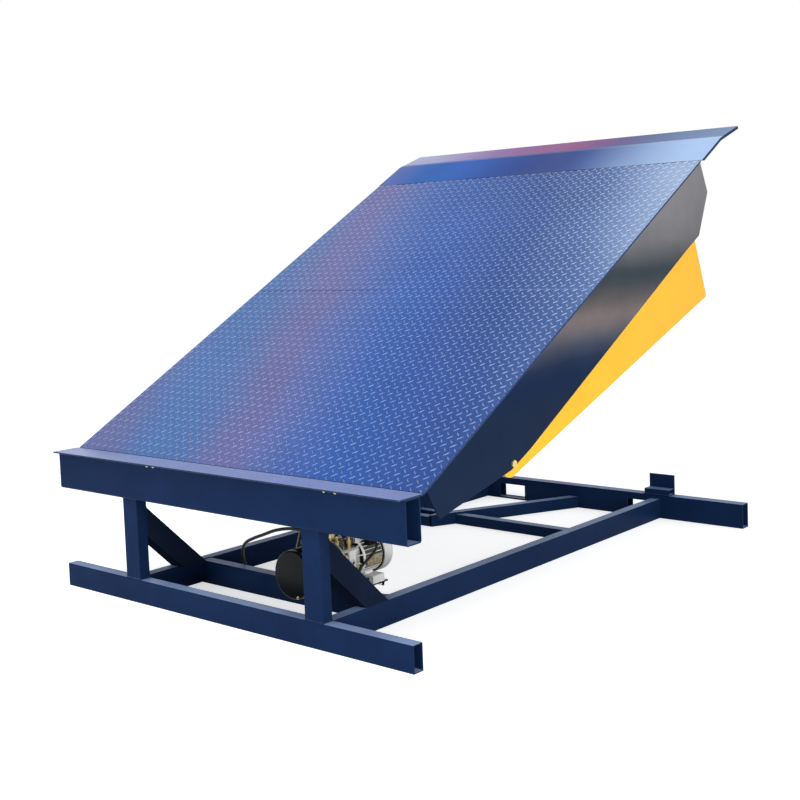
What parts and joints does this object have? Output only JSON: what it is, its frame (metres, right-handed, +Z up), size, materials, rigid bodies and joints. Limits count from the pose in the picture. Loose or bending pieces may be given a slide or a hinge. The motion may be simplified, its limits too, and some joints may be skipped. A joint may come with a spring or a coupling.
{
  "type": "hydraulic dock leveler",
  "caption": "Dock leveler on a welded floor frame: a raised tread plate deck with side skirts and yellow toe guards, a hinged bent lip, a lift cylinder and its power unit.",
  "frame": {"origin": "on the floor, in the middle under the rear sill's bottom face", "axes": "+X across the deck, +Y from the rear hinge towards the lip, +Z up"},
  "size_m": [2.06, 2.625, 1.9731],
  "materials": {
    "frame_paint": "gloss navy blue enamel",
    "deck_paint": "gloss blue enamel",
    "guard_paint": "gloss yellow enamel",
    "tank_paint": "satin black",
    "bare_aluminium": "cast and machined",
    "coil_body": "satin",
    "motor_paint": "silver paint on cast aluminium",
    "hose_rubber": "satin",
    "zinc_plate": "yellow zinc plating",
    "rod_chrome": "polished"
  },
  "bodies": {
    "frame": {"rear_sill": "frame_paint", "front_sill": "frame_paint", "left_side_rail": "frame_paint", "right_side_rail": "frame_paint", "rear_cross_tube": "frame_paint", "mid_cross_tube": "frame_paint", "left_stub_tube": "frame_paint", "diagonal_brace": "frame_paint", "left_post": "frame_paint", "right_post": "frame_paint", "left_brace": "frame_paint", "right_brace": "frame_paint", "hinge_beam": "frame_paint", "rear_top_plate": "frame_paint", "frame_hinge_lugs": "frame_paint", "lip_keeper_boxes": "frame_paint", "lip_keeper_plates": "frame_paint", "cylinder_foot_bracket": "frame_paint", "cylinder_foot_pin": "zinc_plate", "oil_tank": "tank_paint", "pump_block": "bare_aluminium", "solenoid_valves": "coil_body", "electric_motor": "motor_paint", "fan_cowl": "motor_paint", "terminal_box": "motor_paint", "unit_bracket": "tank_paint", "hydraulic_hose": "hose_rubber", "hose_elbow": "zinc_plate", "hose_end_block": "zinc_plate"},
    "deck": {"rear_tread_plate": "deck_paint", "front_tread_plate": "deck_paint", "rear_header": "frame_paint", "front_header": "frame_paint", "deck_ribs": "frame_paint", "deck_cross_ties": "frame_paint", "left_skirt": "frame_paint", "right_skirt": "frame_paint", "deck_hinge_knuckles": "frame_paint", "deck_hinge_pins": "zinc_plate", "deck_lip_knuckles": "frame_paint", "lip_hinge_rod": "zinc_plate", "guard_pivot_bolts": "zinc_plate", "guard_stop_pegs": "zinc_plate", "cylinder_deck_lugs": "frame_paint", "cylinder_deck_pin": "zinc_plate"},
    "lip": {"lip_plate": "deck_paint", "lip_knuckles": "frame_paint"},
    "left_guard": {"left_toe_guard": "guard_paint"},
    "right_guard": {"right_toe_guard": "guard_paint"},
    "lift_barrel": {"cylinder_barrel": "tank_paint"},
    "lift_rod": {"cylinder_rod": "rod_chrome"}
  },
  "joints": [
    {"name": "deck_hinge", "type": "hinge", "parent": "frame", "child": "deck", "pos_m": [0, 0.072, 0.576], "axis": [1, 0, 0], "range_deg": [-29.5, 0]},
    {"name": "lip_hinge", "type": "hinge", "parent": "deck", "child": "lip", "pos_m": [0, 2.20225, 1.77894], "axis": [-1, 0, 0], "range_deg": [0, 90]},
    {"name": "left_guard_fold", "type": "hinge", "parent": "deck", "child": "left_guard", "pos_m": [-0.979, 0.5965, 0.62458], "axis": [-1, 0, 0], "range_deg": [-9, 0]},
    {"name": "right_guard_fold", "type": "hinge", "parent": "deck", "child": "right_guard", "pos_m": [0.979, 0.5965, 0.62458], "axis": [-1, 0, 0], "range_deg": [-9, 0]},
    {"name": "cylinder_swing", "type": "hinge", "parent": "frame", "child": "lift_barrel", "pos_m": [0, 0.428, 0.085], "axis": [1, 0, 0], "range_deg": [-18.9, 0]},
    {"name": "rod_extension", "type": "slide", "parent": "lift_barrel", "child": "lift_rod", "axis": [0, 0.3525, 0.9358], "range_m": [-0.2808, 0]}
  ],
  "couplings": [
    {"joint": "cylinder_swing", "follows": "deck_hinge", "ratio": 0.6362},
    {"joint": "rod_extension", "follows": "deck_hinge", "m_per_rad": 0.5444}
  ]
}
